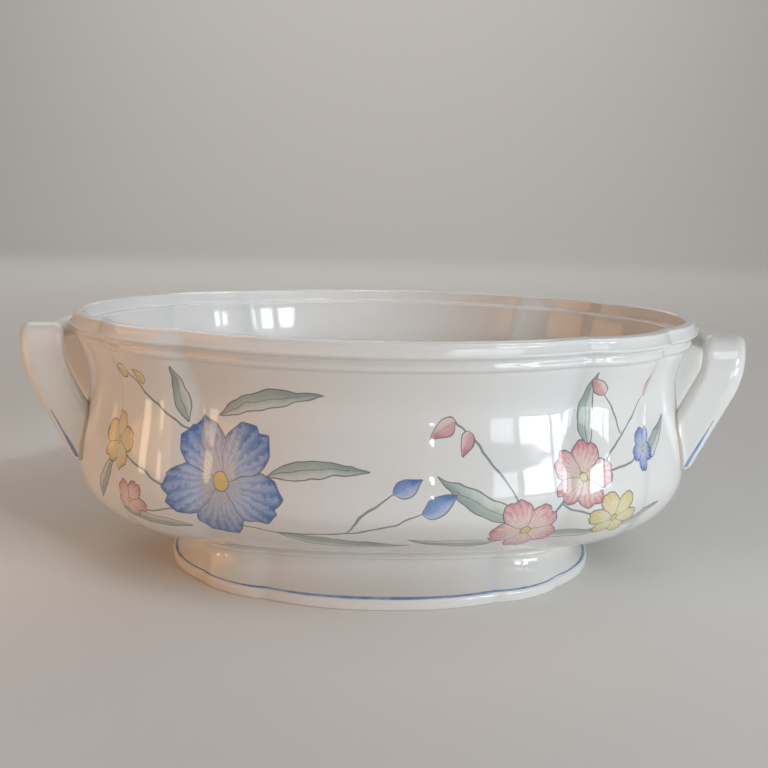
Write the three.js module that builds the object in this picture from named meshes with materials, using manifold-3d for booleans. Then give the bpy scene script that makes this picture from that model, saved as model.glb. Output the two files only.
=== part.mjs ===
// Oval soup tureen without its lid: a fluted bowl on a flared foot, with a strap handle at each end.
// Millimetres, +Z up. The origin is under the middle of the bowl, in the plane that the foot stands
// on. The long way of the oval runs along X, and the handles stand at its two ends.

import * as THREE from 'three';
import { mergeVertices } from 'three/addons/utils/BufferGeometryUtils.js';
import Module from 'manifold-3d';

const wasm = await Module();
wasm.setup();

// Bowl: the oval at the lip, the wider oval at the belly and the small flat oval under the floor
const rimLength = 284;
const rimWidth = 214.5;
const rimHeight = 116.5;
const bellyLength = 284.6;
const bellyWidth = 213;
const bellyHeight = 48;
const flatLength = 180;
const flatWidth = 83;
const flatHeight = 16;
const flatRise = 0.6;
const neckInset = 5.3;
const neckDrop = 28.5;
const wall = 4.6;
const floorThickness = 5;

// How full the curve under the belly is, at the ends and at the sides of the oval (2 is an ellipse)
const endFullness = 2.19;
const sideFullness = 1.57;

// How square the oval is in plan (2 is an ellipse): at the belly and the rim, at the edge of the
// foot, and where the bowl and the foot meet
const bellySquareness = 2;
const footSquareness = 2.17;
const collarSquareness = 3.2;

// Rim: a bulging band, a cove and a small roll outside, and the seat for a lid inside
const flangeReach = 2.8;
const mouldingHeight = 12;
const lipThickness = 3.6;
const lipRound = 1.4;
const lidSeatDrop = 6;
const lidSeatWidth = 4;
const lidSeatRound = 1;

// Outside of the rim from the roll up to the lip: reach past the lip's oval as shares of
// flangeReach, and drop below the lip as shares of mouldingHeight
const mouldingShares = [
  [-0.46, 1.0],
  [0.0, 0.92],
  [0.13, 0.81],
  [0.0, 0.7],
  [0.05, 0.62],
  [0.18, 0.583],
  [0.5, 0.54],
  [0.86, 0.492],
  [0.95, 0.442],
  [0.93, 0.408],
  [0.79, 0.367],
  [0.39, 0.19],
  [0.32, 0.067],
  [0.11, 0.03],
  [-0.5, 0.0],
];

// Upright ends of the S-curves of the wall and of the throat inside, as shares of their rise
const wallUpright = { start: 0.35, end: 0.35 };
const flareUpright = { start: 0.45, end: 0.15 };
const throatUpright = { start: 0.2, end: 0.4 };

// A rounded edge, as shares of its radius: out of the one face, and out of the other
const roundShares = [[1, 0], [0.3, 0.3], [0, 1]];

// Flutes: eight soft valleys, at the same places on the rim, the wall, the inside and the foot.
// The bearings are those of an ellipse, from the end of the oval, and drift from the foot to the rim.
const rimEndCrease = THREE.MathUtils.degToRad(32.3);
const rimSideCrease = THREE.MathUtils.degToRad(55.4);
const footEndCrease = THREE.MathUtils.degToRad(39);
const footSideCrease = THREE.MathUtils.degToRad(60.8);
const creaseSoftness = THREE.MathUtils.degToRad(1.7);
const rimFlute = 4.2;
const bellyFlute = 3.6;
const footFlute = 2;
const endCreaseShare = 0.8;
const lobeFullness = 2.5;

// Foot: a flared ring with a bead at its edge, up to the collar under the bowl
const footLength = 199.4;
const footWidth = 158;
const footHeight = 17.4;
const collarLength = 181;
const collarWidth = 124;
const footBead = 4.8;
const footBeadRound = 0.8;
const footWall = 5.5;
const footGround = 4;
const collarLedge = 1.6;
const footHollow = 1.2;

// Handles: a strap bent into a hoop, which leans outwards and turns upright at its top. It is widest
// there, narrows towards the bowl and ends bluntly at its two roots. The middle line of the strap
// aims at a point inside the wall, below the roots.
const handleProjection = 17.7;
const handleDrop = 6.3;
const handleSpan = 66;
const handleCorner = 15;
const handleBow = 7;
const handleUpright = 9.5;
const handleLeanRadius = 31;
const handleAimHeight = 42.6;
const handleRootHeight = 49.6;
const strapTopWidth = 19.6;
const strapWidth = 17.5;
const strapThickness = 10;
const strapRound = 3.6;

// Gap that stands for the joint between two luted pieces
const jointGap = 0.3;
// Overrun of a cutting body past what it cuts
const cutOverrun = 6;
// Points closer together than this are one
const weldReach = 0.003;

// Fineness of the surfaces
const lobeSteps = 5;
const cornerLobeSteps = 4;
const bellySteps = 8;
const wallSteps = 5;
const flareSteps = 4;
const mouldingSteps = 14;
const seatSteps = 3;
const footFlareSteps = 4;
const handleStep = handleCorner / 3;
const handleCornerSteps = 4;
const strapRoundSteps = 3;

const quarterTurn = Math.PI / 2;
const lerp = THREE.MathUtils.lerp;

const glaze = new THREE.MeshStandardMaterial({ color: 0xece6dc, roughness: 0.12, metalness: 0 });
const footGlaze = new THREE.MeshStandardMaterial({ color: 0xe9e5de, roughness: 0.14, metalness: 0 });
const handleGlaze = new THREE.MeshStandardMaterial({ color: 0xebe4d8, roughness: 0.13, metalness: 0 });

// Bearings of the two creases in a quarter of the oval, at a height above the plane it stands on
function creasesAt(height) {
  const share = height / rimHeight;
  return {
    end: lerp(footEndCrease, rimEndCrease, share),
    side: lerp(footSideCrease, rimSideCrease, share),
  };
}

// Depth of the flutes at a bearing, from 0 in the middle of a lobe to 1 in a side crease
function sharpDip(bearing, creases) {
  const turned = Math.abs(Math.asin(Math.sin(bearing)));
  const quarter = Math.min(turned, quarterTurn);
  if (quarter < creases.end) return endCreaseShare * (quarter / creases.end) ** lobeFullness;
  if (quarter > creases.side) {
    return ((quarterTurn - quarter) / (quarterTurn - creases.side)) ** lobeFullness;
  }
  const middle = (creases.end + creases.side) / 2;
  const across = (quarter - middle) / (creases.side - middle);
  const depth = across > 0 ? 1 : endCreaseShare;
  return depth * Math.abs(across) ** lobeFullness;
}

// The same depth with the bottom of each crease rounded
function softDip(bearing, creases) {
  const samples = [-1, -0.5, 0, 0.5, 1];
  const dips = samples.map((share) => sharpDip(bearing + share * creaseSoftness, creases));
  return dips.reduce((sum, dip) => sum + dip) / samples.length;
}

// Bearings round one quarter of the oval, close together at the creases
function quarterBearings(creases) {
  const lobes = [
    { from: 0, to: creases.end, steps: lobeSteps, soft: [false, true] },
    { from: creases.end, to: creases.side, steps: cornerLobeSteps, soft: [true, true] },
    { from: creases.side, to: quarterTurn, steps: lobeSteps, soft: [true, false] },
  ];
  const bearings = [];
  for (const { from, to, steps, soft } of lobes) {
    const first = soft[0] ? from + creaseSoftness : from;
    const last = soft[1] ? to - creaseSoftness : to;
    if (soft[0]) bearings.push(from);
    for (let i = 0; i <= steps; i += 1) bearings.push(lerp(first, last, i / steps));
  }
  return bearings;
}

// Bearings all the way round, with the last one on top of the first
function fullBearings(height) {
  const quarter = quarterBearings(creasesAt(height));
  const back = quarter.slice(0, -1).reverse();
  const half = [...quarter, ...back.map((bearing) => Math.PI - bearing)];
  return [...half, ...half.slice(1).map((bearing) => Math.PI + bearing)];
}

// A ring of the surface: how far it reaches at the ends and at the sides, its height, the depth of
// its flutes and how square it is in plan
function ring(endReach, sideReach, height, flute, squareness) {
  return { endReach, sideReach, height, flute, squareness };
}

// The point that closes a body on its axis
function axisRing(height) {
  return ring(0, 0, height, 0, bellySquareness);
}

// Place on a ring at a bearing
function pointOn({ endReach, sideReach, height, flute, squareness }, bearing) {
  const [cos, sin] = [Math.cos(bearing), Math.sin(bearing)];
  const corner = (Math.abs(cos) ** squareness + Math.abs(sin) ** squareness) ** (-1 / squareness);
  const dip = flute * softDip(bearing, creasesAt(height));
  return [(endReach * corner - dip) * cos, (sideReach * corner - dip) * sin, height];
}

// Turns a profile of rings into a closed body: a revolved profile whose circles become fluted ovals
function sweepOval(rings) {
  const profile = rings.map(({ endReach, height }) => new THREE.Vector2(endReach, height));
  const columns = rings.map(({ height }) => fullBearings(height));
  const geometry = new THREE.LatheGeometry(profile, columns[0].length - 1);
  const position = geometry.getAttribute('position');
  for (let index = 0; index < position.count; index += 1) {
    const row = index % rings.length;
    const column = Math.floor(index / rings.length);
    position.setXYZ(index, ...pointOn(rings[row], columns[row][column]));
  }
  return closeSeams(geometry);
}

// Points on the axis and along the seam become one, and faces without area go
function closeSeams(geometry) {
  geometry.deleteAttribute('normal');
  geometry.deleteAttribute('uv');
  const merged = mergeVertices(geometry, weldReach);
  const index = merged.getIndex();
  const corners = [];
  for (let face = 0; face < index.count; face += 3) {
    const [a, b, c] = [index.getX(face), index.getX(face + 1), index.getX(face + 2)];
    if (a !== b && b !== c && c !== a) corners.push(a, b, c);
  }
  merged.setIndex(corners);
  return merged;
}

function toSolid(geometry) {
  const vertProperties = new Float32Array(geometry.getAttribute('position').array);
  const triVerts = new Uint32Array(geometry.getIndex().array);
  return new wasm.Manifold(new wasm.Mesh({ numProp: 3, vertProperties, triVerts }));
}

function toGeometry(solid) {
  const mesh = solid.getMesh();
  const geometry = new THREE.BufferGeometry();
  geometry.setAttribute('position', new THREE.BufferAttribute(mesh.vertProperties, mesh.numProp));
  geometry.setIndex(new THREE.BufferAttribute(mesh.triVerts, 1));
  geometry.computeVertexNormals();
  return geometry;
}

function cut(geometry, tool) {
  return toGeometry(toSolid(geometry).subtract(toSolid(tool)));
}

// Curve from the flat under the floor out to the belly, for the outside or the inside of the bowl.
// grow moves it out of the clay, and into it when negative.
function bellyRings(bottom, grow) {
  const rings = [];
  const rise = bellyHeight - bottom;
  for (let i = 0; i <= bellySteps; i += 1) {
    const drop = Math.cos((quarterTurn * i) / bellySteps);
    const reachShare = (fullness) => (1 - drop ** fullness) ** (1 / fullness);
    const endReach = lerp(flatLength / 2, bellyLength / 2 + grow, reachShare(endFullness));
    const sideReach = lerp(flatWidth / 2, bellyWidth / 2 + grow, reachShare(sideFullness));
    const flute = bellyFlute * Math.sqrt(reachShare(sideFullness));
    const squareness = lerp(collarSquareness, bellySquareness, reachShare(endFullness));
    rings.push(ring(endReach, sideReach, bellyHeight - rise * drop, flute, squareness));
  }
  return rings;
}

// S-curve between two rings, with upright ends
function wallCurve(from, to, steps, upright) {
  const rise = to.height - from.height;
  const bend = (key) => new THREE.CubicBezierCurve(
    new THREE.Vector2(from[key], from.height),
    new THREE.Vector2(from[key], from.height + upright.start * rise),
    new THREE.Vector2(to[key], to.height - upright.end * rise),
    new THREE.Vector2(to[key], to.height),
  );
  const ends = bend('endReach').getPoints(steps);
  const sides = bend('sideReach').getPoints(steps);
  const rings = ends.map((point, i) => {
    const flute = lerp(from.flute, to.flute, i / steps);
    return ring(point.x, sides[i].x, point.y, flute, bellySquareness);
  });
  return rings.slice(1);
}

// Ring at the rim, by its reach past the lip's oval and its drop below the lip
function rimRing(reach, drop) {
  const height = rimHeight - drop;
  return ring(rimLength / 2 + reach, rimWidth / 2 + reach, height, rimFlute, bellySquareness);
}

function neckRing(grow) {
  return rimRing(grow - neckInset, neckDrop);
}

// Roll, cove, bulging band and lip, from below upwards
function mouldingRings() {
  const points = mouldingShares.map(
    ([reach, drop]) => new THREE.Vector2(reach * flangeReach, drop * mouldingHeight),
  );
  const outline = new THREE.SplineCurve(points).getPoints(mouldingSteps);
  return outline.map((point) => rimRing(point.x, point.y));
}

// Outside of the bowl from the flat under the floor up to the lip
function outerRings(grow) {
  const belly = bellyRings(flatHeight - grow, grow);
  const neck = neckRing(grow);
  const moulding = mouldingRings();
  const lower = wallCurve(belly.at(-1), neck, wallSteps, wallUpright);
  const flare = wallCurve(neck, moulding[0], flareSteps, flareUpright);
  return [...belly, ...lower, ...flare.slice(0, -1), ...moulding];
}

// Inside of the lip and the ledge that a lid would sit on, from the lip downwards
function lidSeatRings() {
  const nose = lipThickness + lidSeatWidth;
  const lip = roundShares.slice(1).map(
    ([inset, drop]) => rimRing(inset * lipRound - lipThickness, drop * lipRound),
  );
  const corner = rimRing(-lipThickness, lidSeatDrop);
  const edge = roundShares.map(
    ([inset, drop]) => rimRing(inset * lidSeatRound - nose, lidSeatDrop + drop * lidSeatRound),
  );
  return [...lip, corner, ...edge];
}

// Inside of the bowl from the lid seat down to the floor
function innerRings() {
  const seat = lidSeatRings();
  const belly = bellyRings(flatHeight + floorThickness, -wall).reverse();
  const neck = neckRing(-wall);
  const throat = wallCurve(seat.at(-1), neck, seatSteps, throatUpright);
  const lower = wallCurve(neck, belly[0], wallSteps, wallUpright);
  return [...seat, ...throat, ...lower.slice(0, -1), ...belly];
}

function bowl() {
  const under = axisRing(flatHeight - flatRise);
  const floor = axisRing(flatHeight + floorThickness - flatRise);
  return sweepOval([under, ...outerRings(0), ...innerRings(), floor]);
}

// The bowl as a full block, grown by the joint gap, to cut the seats of the foot and the handles
function bowlBlock() {
  const under = axisRing(flatHeight - flatRise - jointGap);
  const rings = outerRings(jointGap);
  const cover = { ...rings.at(-1), height: rimHeight + cutOverrun };
  return sweepOval([under, ...rings, cover, axisRing(cover.height)]);
}

// Ring of the foot, by its inset from the edge of the foot: 0 at the edge, 1 at the collar
function footRingAt(insetShare, thickness, height) {
  const endReach = lerp(footLength, collarLength, insetShare) / 2 - thickness;
  const sideReach = lerp(footWidth, collarWidth, insetShare) / 2 - thickness;
  const squareness = lerp(footSquareness, collarSquareness, insetShare);
  return ring(endReach, sideReach, height, footFlute, squareness);
}

// Hollow curve from the bead in and up to the collar, or the same curve inside the ring
function footFlareRings(bottom, top, thickness) {
  const rings = [];
  for (let i = 0; i <= footFlareSteps; i += 1) {
    const angle = (quarterTurn * i) / footFlareSteps;
    const inset = Math.sin(angle) ** footHollow;
    rings.push(footRingAt(inset, thickness, lerp(bottom, top, 1 - Math.cos(angle))));
  }
  return rings;
}

function footRing(block) {
  const ledgeHeight = footHeight - collarLedge;
  const edge = roundShares.map(([inset, rise]) => [inset * footBeadRound, rise * footBeadRound]);
  const underside = edge.map(([inset, rise]) => footRingAt(0, inset, rise));
  const upside = edge.slice(1).reverse().map(([inset, drop]) => footRingAt(0, inset, footBead - drop));
  const outside = [
    ...underside,
    ...upside,
    ...footFlareRings(footBead, ledgeHeight, footBeadRound),
    footRingAt(1, footBeadRound - collarLedge, ledgeHeight + collarLedge / 3),
    footRingAt(1, footBeadRound - collarLedge, footHeight),
    footRingAt(1, footBeadRound, footHeight + collarLedge),
  ];
  const grounded = footBeadRound + footGround;
  const inside = [
    footRingAt(1, footBeadRound + footWall, footHeight + collarLedge),
    ...footFlareRings(footBead, ledgeHeight, footBeadRound + footWall).reverse(),
    footRingAt(0, footBeadRound + footWall, footBeadRound),
    footRingAt(0, grounded, 0),
    footRingAt(0, footBeadRound, 0),
  ];
  return cut(sweepOval([...outside, ...inside]), block);
}

// The middle line of a handle, seen from the side: down from the top, round a bend, and straight
// along the bend's tangent to the point inside the wall that it aims at
function handleLine() {
  const centreX = rimLength / 2 + handleProjection - strapWidth / 2 - handleLeanRadius;
  const centreZ = rimHeight - handleDrop - handleUpright;
  const across = bellyLength / 2 - strapWidth - centreX;
  const down = centreZ - handleAimHeight;
  const distance = Math.hypot(across, down);
  const lean = Math.atan2(down, across) - Math.acos(handleLeanRadius / distance);
  const bendLength = handleLeanRadius * lean;
  const length = handleUpright + bendLength + Math.sqrt(distance ** 2 - handleLeanRadius ** 2);
  return { centreX, centreZ, bendLength, length };
}

// Where a point of the handle lies in the XZ plane: drop is the way down the middle line from the
// top of the hoop, and level is the way across a strap of even width, away from the bowl. The edge
// away from the bowl keeps its line, and the edge towards the bowl takes up the taper.
function leaningPoint(line, drop, level) {
  const stretch = lerp(strapTopWidth / strapWidth, 1, drop / line.length);
  const offset = strapWidth / 2 - (strapWidth / 2 - level) * stretch;
  const angle = THREE.MathUtils.clamp(drop - handleUpright, 0, line.bendLength) / handleLeanRadius;
  const straight = Math.max(drop - handleUpright - line.bendLength, 0);
  const rise = Math.max(handleUpright - drop, 0);
  const radius = handleLeanRadius + offset;
  const x = line.centreX + radius * Math.cos(angle) - straight * Math.sin(angle);
  const z = line.centreZ + rise - radius * Math.sin(angle) - straight * Math.cos(angle);
  return { x, z };
}

// Adds points to the straight stretches of an outline, so that it can be bent
function divided(points, step) {
  return points.flatMap((point, i) => {
    const next = points[(i + 1) % points.length];
    const pieces = Math.max(Math.round(point.distanceTo(next) / step), 1);
    return Array.from({ length: pieces }, (_, k) => point.clone().lerp(next, k / pieces));
  });
}

// The hoop laid flat: two legs and a bar with round corners, as wide as the strap is thick
function hoopOutline(length) {
  const half = handleSpan / 2;
  const inner = half - strapThickness;
  const innerCorner = handleCorner - strapThickness;
  const outline = new THREE.Path();
  outline.moveTo(half, -length);
  outline.lineTo(half, -handleCorner);
  outline.absarc(half - handleCorner, -handleCorner, handleCorner, 0, quarterTurn);
  outline.absarc(handleCorner - half, -handleCorner, handleCorner, quarterTurn, Math.PI);
  outline.lineTo(-half, -length);
  outline.lineTo(-inner, -length);
  outline.absarc(handleCorner - half, -handleCorner, innerCorner, Math.PI, quarterTurn, true);
  outline.absarc(half - handleCorner, -handleCorner, innerCorner, quarterTurn, 0, true);
  outline.lineTo(inner, -length);
  const points = outline.getPoints(handleCornerSteps);
  return new THREE.Shape(divided(points, handleStep));
}

// The hoop as wide as the strap, with rounded edges, bent to its lean and bowed out in the middle
function bentHoop() {
  const line = handleLine();
  const geometry = new THREE.ExtrudeGeometry(hoopOutline(line.length), {
    depth: strapWidth - 2 * strapRound,
    bevelThickness: strapRound,
    bevelSize: strapRound,
    bevelOffset: -strapRound,
    bevelSegments: strapRoundSteps,
  });
  geometry.translate(0, 0, strapRound - strapWidth / 2);
  const position = geometry.getAttribute('position');
  const half = handleSpan / 2;
  for (let index = 0; index < position.count; index += 1) {
    const y = position.getX(index);
    const { x, z } = leaningPoint(line, -position.getY(index), position.getZ(index));
    const bow = handleBow * (1 - (y / half) ** 2);
    position.setXYZ(index, x + bow, y, z);
  }
  return closeSeams(geometry);
}

function namedMesh(name, geometry, material) {
  const mesh = new THREE.Mesh(geometry, material);
  mesh.name = name;
  return mesh;
}

// What is cut off below the roots of a handle
function belowRoots() {
  const length = rimLength + handleProjection + handleBow;
  const box = new THREE.BoxGeometry(length, handleSpan + cutOverrun, handleRootHeight);
  return closeSeams(box.translate(length / 2, 0, handleRootHeight / 2));
}

const block = bowlBlock();
const handleShape = cut(cut(bentHoop(), belowRoots()), block);

const tureen = new THREE.Group();
tureen.add(namedMesh('bowl', bowl(), glaze));
tureen.add(namedMesh('foot_ring', footRing(block), footGlaze));

const handleTurns = { handle_right: 0, handle_left: Math.PI };
for (const [name, turn] of Object.entries(handleTurns)) {
  const mesh = namedMesh(name, handleShape, handleGlaze);
  mesh.rotation.z = turn;
  tureen.add(mesh);
}

export default tureen;
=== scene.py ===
# %% [markdown]
# # A fluted soup tureen in glazed porcelain
#
# The tureen is four pieces of clay that were joined while they were damp: an oval bowl, a flared
# foot and two strap handles. The frame that is loaded here holds them at their real size, but in
# flat facets. Each one is made again with a fine surface in the same place, and then glazed and
# painted. Lengths are metres, +Z is up, and the front of the tureen looks along -Y.

import math

import bpy
from mathutils import Matrix, Vector


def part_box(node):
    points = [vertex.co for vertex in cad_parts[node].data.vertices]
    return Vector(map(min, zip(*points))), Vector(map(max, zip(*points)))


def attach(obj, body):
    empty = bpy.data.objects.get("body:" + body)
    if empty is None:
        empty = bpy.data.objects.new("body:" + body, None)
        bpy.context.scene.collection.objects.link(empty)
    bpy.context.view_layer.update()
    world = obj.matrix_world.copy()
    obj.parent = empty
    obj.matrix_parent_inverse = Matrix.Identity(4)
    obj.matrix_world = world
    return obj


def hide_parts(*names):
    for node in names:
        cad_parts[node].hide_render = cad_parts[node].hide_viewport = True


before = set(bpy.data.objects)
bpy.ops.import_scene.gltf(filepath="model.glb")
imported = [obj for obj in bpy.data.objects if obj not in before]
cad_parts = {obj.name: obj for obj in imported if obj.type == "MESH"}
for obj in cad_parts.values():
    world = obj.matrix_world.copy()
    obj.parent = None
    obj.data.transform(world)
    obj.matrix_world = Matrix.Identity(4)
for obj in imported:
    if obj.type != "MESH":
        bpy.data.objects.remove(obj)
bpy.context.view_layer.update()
MM = 0.001
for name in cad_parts:
    low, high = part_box(name)
    print(name, "from", [round(v / MM, 1) for v in low], "to", [round(v / MM, 1) for v in high], "mm")

# %% [markdown]
# ## The camera
#
# The rim and the foot are two ovals at known heights, so together they give away where the camera
# stood: how far off, how high, and how long its lens was. It looks down by ten and a half degrees
# and leans by one, and the tureen is turned a little, which is the same as walking the camera
# round it by that angle.

# %% Place the camera
CAMERA_PLACE = Vector((0.40, -467.73, 167.46)) * MM
CAMERA_PITCH = math.radians(10.470)
CAMERA_ROLL = math.radians(1.125)
TUREEN_TURN = math.radians(0.6055)

camera_data = bpy.data.cameras.new("camera")
camera_data.sensor_width = 36.0
camera_data.lens = 46.75
camera_data.clip_start = 0.02
camera = bpy.data.objects.new("camera", camera_data)
bpy.context.scene.collection.objects.link(camera)
walk_round = Matrix.Rotation(-TUREEN_TURN, 4, "Z")
look = Matrix.Rotation(math.pi / 2 - CAMERA_PITCH, 4, "X") @ Matrix.Rotation(CAMERA_ROLL, 4, "Z")
camera.matrix_world = walk_round @ Matrix.Translation(CAMERA_PLACE) @ look
bpy.context.scene.camera = camera
print("camera stands", round(camera.location.length, 3), "m from the foot of the tureen")

# %% [markdown]
# ## Node maths written as arithmetic
#
# The shape of the tureen and the painting on it both follow formulas, and a formula in nodes is a
# long row of Math nodes. `Number` wraps one socket and lets Python's own signs add those nodes, so
# `a * b + c` builds the two nodes it names. `NodeSheet` holds a node tree and makes its inputs,
# outputs and nodes. It serves Geometry Nodes and shader groups alike.

# %% Number and NodeSheet
def sign(operation, swapped=False):
    """One of Python's signs as a Math node; swapped where the number stands second."""

    def add_node(self, other):
        return self.sheet.math(operation, *((other, self) if swapped else (self, other)))

    return add_node


class Number:
    """A socket with a number in it, which can be reckoned with."""

    def __init__(self, sheet, socket):
        self.sheet, self.socket = sheet, socket

    def reckon(self, operation, *others):
        return self.sheet.math(operation, self, *others)

    def __abs__(self):
        return self.reckon("ABSOLUTE")

    __add__ = __radd__ = sign("ADD")
    __mul__ = __rmul__ = sign("MULTIPLY")
    __sub__, __rsub__ = sign("SUBTRACT"), sign("SUBTRACT", swapped=True)
    __truediv__, __rtruediv__ = sign("DIVIDE"), sign("DIVIDE", swapped=True)
    __pow__, __lt__, __gt__ = sign("POWER"), sign("LESS_THAN"), sign("GREATER_THAN")


class NodeSheet:
    """A node tree with named inputs and outputs, for geometry or for shaders."""

    def __init__(self, name, kind):
        self.tree = bpy.data.node_groups.new(name, kind)
        self.entry = self.tree.nodes.new("NodeGroupInput")
        self.exit = self.tree.nodes.new("NodeGroupOutput")

    def takes(self, name, kind="Float", default=None):
        socket = self.tree.interface.new_socket(name, in_out="INPUT", socket_type="NodeSocket" + kind)
        if default is not None:
            socket.default_value = default
        return Number(self, self.entry.outputs[name])

    def takes_all(self, *names):
        return [self.takes(name) for name in names]

    def gives(self, name, kind, value):
        self.tree.interface.new_socket(name, in_out="OUTPUT", socket_type="NodeSocket" + kind)
        self.feed(self.exit.inputs[name], value)

    def feed(self, socket, value):
        if isinstance(value, Number):
            self.tree.links.new(value.socket, socket)
        elif value is not None:
            socket.default_value = value

    def node(self, kind, *values, out=0, **settings):
        node = self.tree.nodes.new(kind)
        named = {key: settings.pop(key) for key in list(settings) if key[0].isupper()}
        for key, value in settings.items():
            setattr(node, key, value)
        for socket, value in zip([s for s in node.inputs if s.enabled], values):
            self.feed(socket, value)
        for key, value in named.items():
            self.feed(node.inputs[key.replace("_", " ")], value)
        return Number(self, [s for s in node.outputs if s.enabled][out])

    def math(self, operation, *values):
        return self.node("ShaderNodeMath", *values, operation=operation)

    def parts(self, vector):
        first = self.node("ShaderNodeSeparateXYZ", vector)
        return [Number(self, socket) for socket in first.socket.node.outputs]

    def point(self, x, y, z=0.0):
        return self.node("ShaderNodeCombineXYZ", x, y, z)

    def ramp(self, value, low, high):
        """0 below low, 1 above high and a soft step between, which needs no clamp of its own."""
        return self.node("ShaderNodeMapRange", value, low, high, 0.0, 1.0,
                         interpolation_type="SMOOTHSTEP", clamp=False)

    def fade(self, value, high, width):
        """1 below high, then a soft step down to 0 within the width."""
        return 1.0 - self.ramp(value, high, high + width)

    def over(self, mask, under, paint):
        """One colour laid over another, where the mask is 1."""
        return self.node("ShaderNodeMix", mask, under, paint, data_type="RGBA")

    def speckle(self, place, scale, detail=2.0, roughness=0.5):
        return self.node("ShaderNodeTexNoise", place, Scale=scale, Detail=detail, Roughness=roughness)

    def keep(self, geometry, name, value, kind, domain="POINT"):
        """Stores a value on the geometry under a name."""
        return self.node("GeometryNodeStoreNamedAttribute", geometry, None, name, value,
                         data_type=kind, domain=domain)

    def dressed(self, geometry, material):
        """The last steps of a shape: smooth shading and its material."""
        smooth = self.node("GeometryNodeSetShadeSmooth", geometry)
        real = self.node("GeometryNodeRealizeInstances", smooth)
        return self.node("GeometryNodeSetMaterial", real, None, material)


def mix(start, end, share):
    """A share of the way from start to end, for plain numbers and for sockets."""
    return start + (end - start) * share


# %% [markdown]
# ## The rule of the fluted oval
#
# A potter's model maker would cut a template of the wall and sweep it round an oval, and then
# press eight soft valleys into it. The same rule is written here once, in Geometry Nodes, and the
# bowl, its inside and the foot all follow it. The template is a line of points, and each point
# knows how far it reaches at the ends and at the sides of the oval, how high it is, how deep the
# valleys are there and how square the oval is. A grid has one row for each point of the template
# and one column for each bearing, and Set Position puts every vertex of the grid in its place.
#
# The depth of the valleys is the smallest of three curves, one for each lobe in a quarter of the
# oval. A smooth minimum rounds the bottoms of the valleys, as the glaze does.

# %% Sizes of the valleys
RIM_HEIGHT = 116.5 * MM
COLUMNS = 384
CREASES = {
    "Rim End Crease": math.radians(32.3),
    "Rim Side Crease": math.radians(55.4),
    "Foot End Crease": math.radians(39.0),
    "Foot Side Crease": math.radians(60.8),
    "Rim Height": RIM_HEIGHT,
}
END_CREASE_SHARE = 0.8
LOBE_FULLNESS = 2.5
CREASE_ROUNDING = 0.22


# %% Fluted oval tree
def depth_of_valleys(sheet, bearing, height):
    creases = {name: sheet.takes(name, default=size) for name, size in CREASES.items()}
    share = height / creases["Rim Height"]
    end = mix(creases["Foot End Crease"], creases["Rim End Crease"], share)
    side = mix(creases["Foot Side Crease"], creases["Rim Side Crease"], share)
    quarter = abs(bearing.reckon("SINE").reckon("ARCSINE"))
    end_lobe = (quarter / end) ** LOBE_FULLNESS * END_CREASE_SHARE
    side_lobe = ((math.pi / 2 - quarter) / (math.pi / 2 - side)) ** LOBE_FULLNESS
    middle = (end + side) * 0.5
    across = (quarter - middle) / (side - middle)
    corner_depth = mix(END_CREASE_SHARE, 1.0, across > 0.0)
    corner_lobe = abs(across) ** LOBE_FULLNESS * corner_depth
    lower = end_lobe.reckon("SMOOTH_MIN", corner_lobe, CREASE_ROUNDING)
    return lower.reckon("SMOOTH_MIN", side_lobe, CREASE_ROUNDING)


def fluted_oval_tree():
    sheet = NodeSheet("fluted_oval", "GeometryNodeTree")
    template = sheet.takes("Template", "Geometry")
    columns = sheet.takes("Columns", "Int", COLUMNS)
    guide_row = sheet.takes("Guide Row", "Int", 0)
    material = sheet.takes("Glaze", "Material")
    rows = sheet.node("GeometryNodeAttributeDomainSize", template)
    index = sheet.node("GeometryNodeInputIndex")
    row = index.reckon("FLOORED_MODULO", rows)
    column = (index / rows + 0.0001).reckon("FLOOR")
    grid = sheet.node("GeometryNodeMeshGrid", 1.0, 1.0, columns + 1, rows)

    def sampled(name):
        known = sheet.node("GeometryNodeInputNamedAttribute", name, data_type="FLOAT_VECTOR")
        at_row = sheet.node("GeometryNodeSampleIndex", template, known, row, data_type="FLOAT_VECTOR")
        return sheet.parts(at_row)

    end_reach, side_reach, height = sampled("reach")
    flute, squareness, along = sampled("form")
    bearing = column / columns * math.tau
    cosine, sine = bearing.reckon("COSINE"), bearing.reckon("SINE")
    valley = depth_of_valleys(sheet, bearing, height)
    dip = flute * valley
    fullness = abs(cosine) ** squareness + abs(sine) ** squareness
    corner = fullness ** (-1.0 / squareness)
    x = (end_reach * corner - dip) * cosine
    y = (side_reach * corner - dip) * sine
    skin = sheet.node("GeometryNodeSetPosition", grid, None, sheet.point(x, y, height))

    # How far round the wall each column lies, measured along one row, for the painting
    place = sheet.node("GeometryNodeInputPosition")
    here = column * rows + guide_row
    before = (here - rows).reckon("MAXIMUM", 0.0)
    points = [
        sheet.node("GeometryNodeSampleIndex", skin, place, at, data_type="FLOAT_VECTOR")
        for at in (here, before)
    ]
    step = sheet.node("ShaderNodeVectorMath", *points, operation="DISTANCE") * (column > 0.5)
    round_wall = sheet.node("GeometryNodeAccumulateField", step, row, data_type="FLOAT")
    pointed = sheet.keep(skin, "wall_point", sheet.point(round_wall, along), "FLOAT_VECTOR")
    known = sheet.node("GeometryNodeInputNamedAttribute", "wall_point", data_type="FLOAT_VECTOR")
    mapped = sheet.keep(pointed, "wall_map", known, "FLOAT2", "CORNER")
    plain = sheet.node("GeometryNodeRemoveAttribute", mapped, "wall_point")
    marked = sheet.keep(plain, "valley", valley, "FLOAT")
    closed = sheet.node("GeometryNodeMergeByDistance", marked, None, 0.002 * MM)
    sheet.gives("Skin", "Geometry", sheet.dressed(closed, material))
    return sheet.tree


fluted_oval = fluted_oval_tree()
print("fluted_oval has", len(fluted_oval.nodes), "nodes")

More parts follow.
